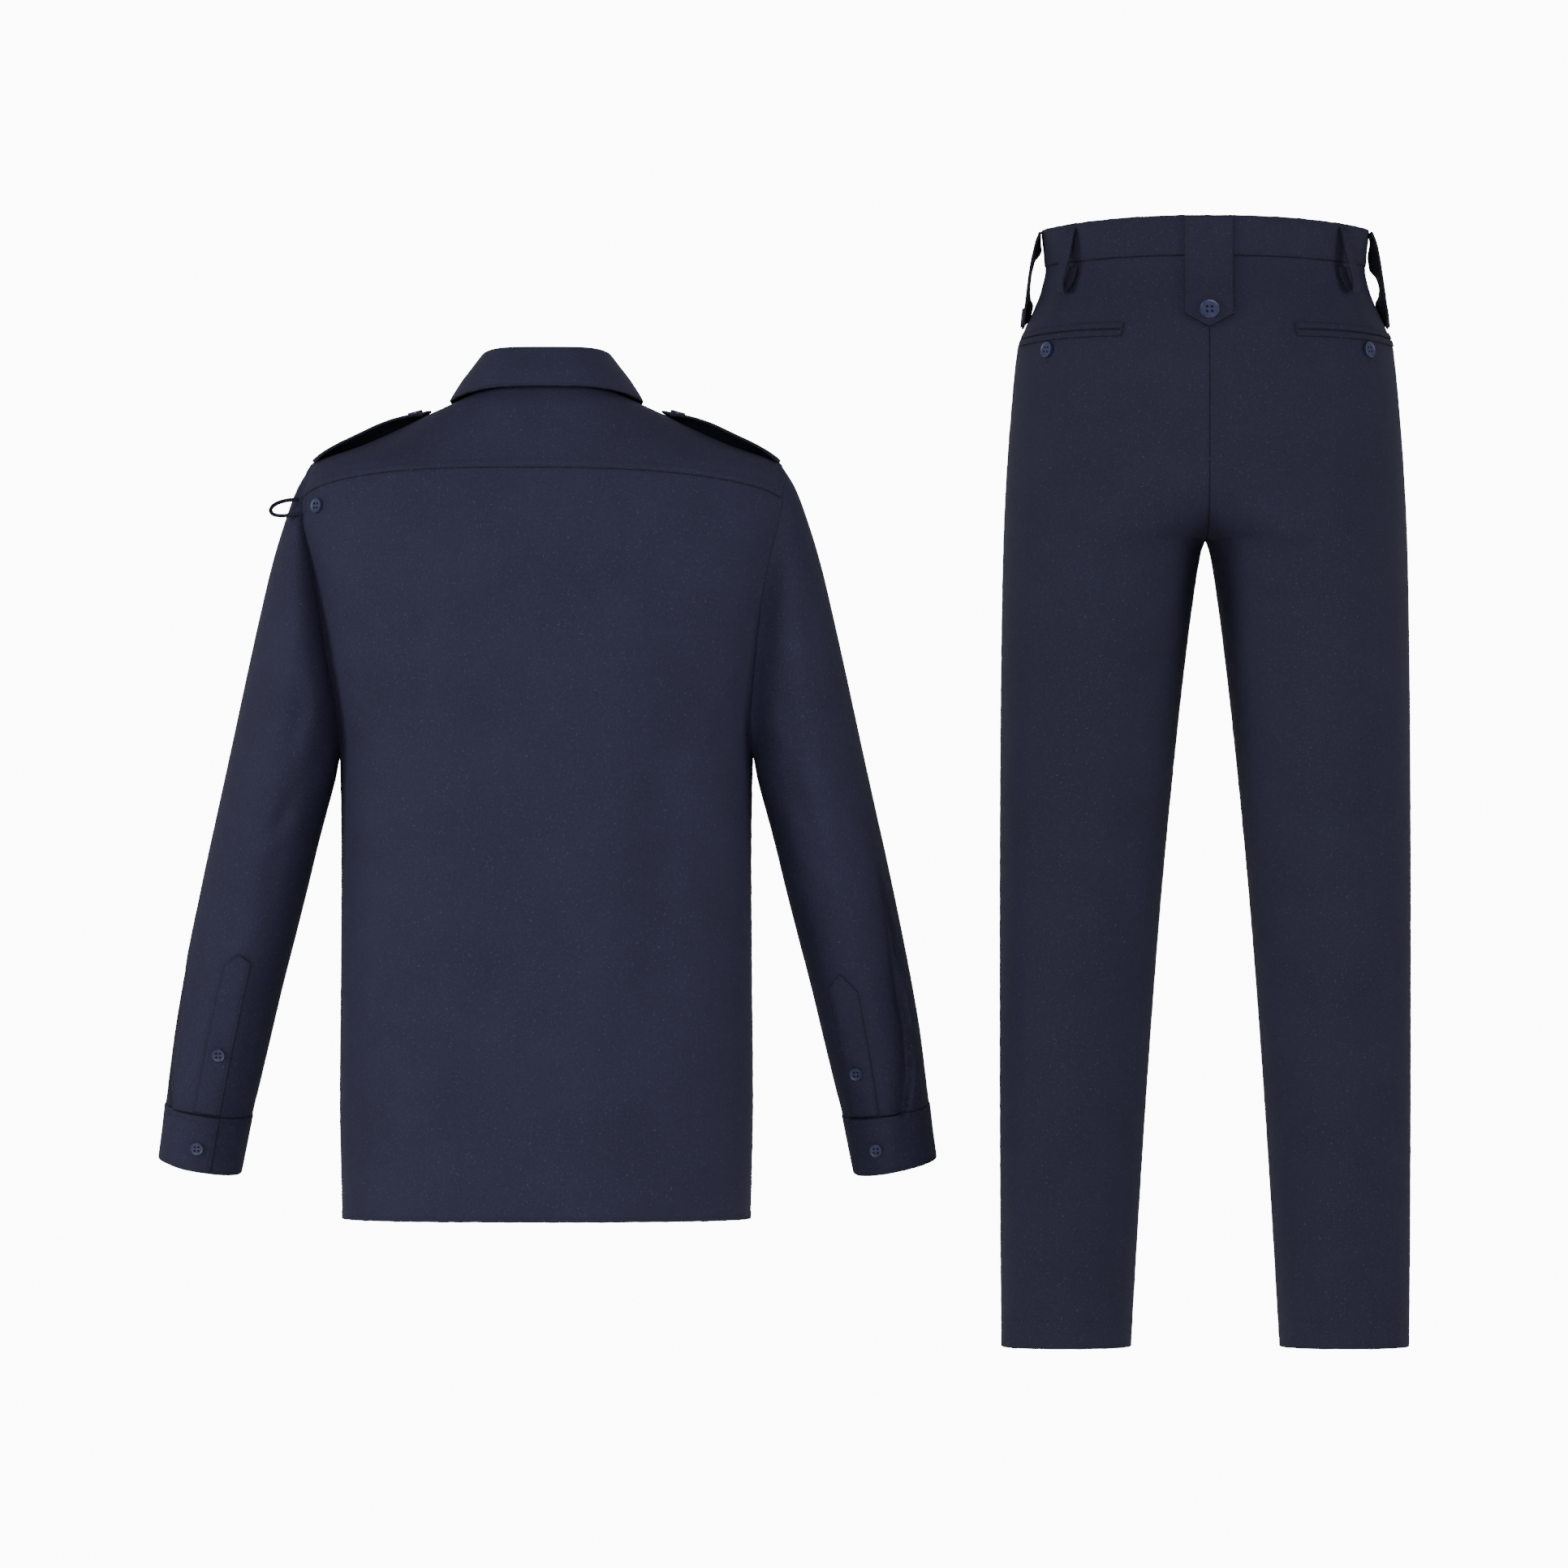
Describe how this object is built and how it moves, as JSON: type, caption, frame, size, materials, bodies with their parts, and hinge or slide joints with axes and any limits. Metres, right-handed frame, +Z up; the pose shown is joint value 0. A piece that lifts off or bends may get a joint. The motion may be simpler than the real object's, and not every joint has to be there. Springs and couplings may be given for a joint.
{
  "type": "flame resistant uniform",
  "caption": "Long-sleeved navy twill work shirt with shoulder straps, and matching straight trousers with jetted back pockets, both filled out and seen from the back.",
  "frame": {"origin": "middle of the shirt's shoulders, at the base of its collar, where the wearer's shoulders hold it up", "axes": "+X towards the wearer's right, from the shirt to the trousers beside it; +Y out of the wearer's front; +Z up"},
  "size_m": [1.1601, 0.2719, 1.0411],
  "materials": {
    "shirt_cloth": "smooth navy twill, matt",
    "trouser_cloth": "smooth navy twill, matt",
    "button": "polished dark blue, four holes"
  },
  "bodies": {
    "root": {"collar_fall": "shirt_cloth", "collar_stand": "shirt_cloth", "left_cuff": "shirt_cloth", "left_front": "shirt_cloth", "left_shoulder_strap": "shirt_cloth", "left_sleeve": "shirt_cloth", "left_sleeve_placket": "shirt_cloth", "right_cuff": "shirt_cloth", "right_front": "shirt_cloth", "right_shoulder_strap": "shirt_cloth", "right_sleeve": "shirt_cloth", "right_sleeve_placket": "shirt_cloth", "shirt_back": "shirt_cloth", "shirt_yoke": "shirt_cloth", "shoulder_loop": "shirt_cloth", "back_tab": "trouser_cloth", "left_back_belt_loop": "trouser_cloth", "left_front_belt_loop": "trouser_cloth", "left_pocket_lower_lip": "trouser_cloth", "left_pocket_upper_lip": "trouser_cloth", "left_side_tab": "trouser_cloth", "left_trouser_back": "trouser_cloth", "left_trouser_front": "trouser_cloth", "right_back_belt_loop": "trouser_cloth", "right_front_belt_loop": "trouser_cloth", "right_pocket_lower_lip": "trouser_cloth", "right_pocket_upper_lip": "trouser_cloth", "right_side_tab": "trouser_cloth", "right_trouser_back": "trouser_cloth", "right_trouser_front": "trouser_cloth", "trouser_fly": "trouser_cloth", "waistband": "trouser_cloth", "back_tab_button": "button", "collar_button": "button", "front_button_1": "button", "front_button_2": "button", "front_button_3": "button", "front_button_4": "button", "front_button_5": "button", "front_button_6": "button", "left_cuff_button": "button", "left_placket_button": "button", "left_pocket_button": "button", "left_side_tab_button": "button", "left_strap_button": "button", "right_cuff_button": "button", "right_placket_button": "button", "right_pocket_button": "button", "right_side_tab_button": "button", "right_strap_button": "button", "shoulder_loop_button": "button", "waistband_button": "button"}
  },
  "joints": []
}
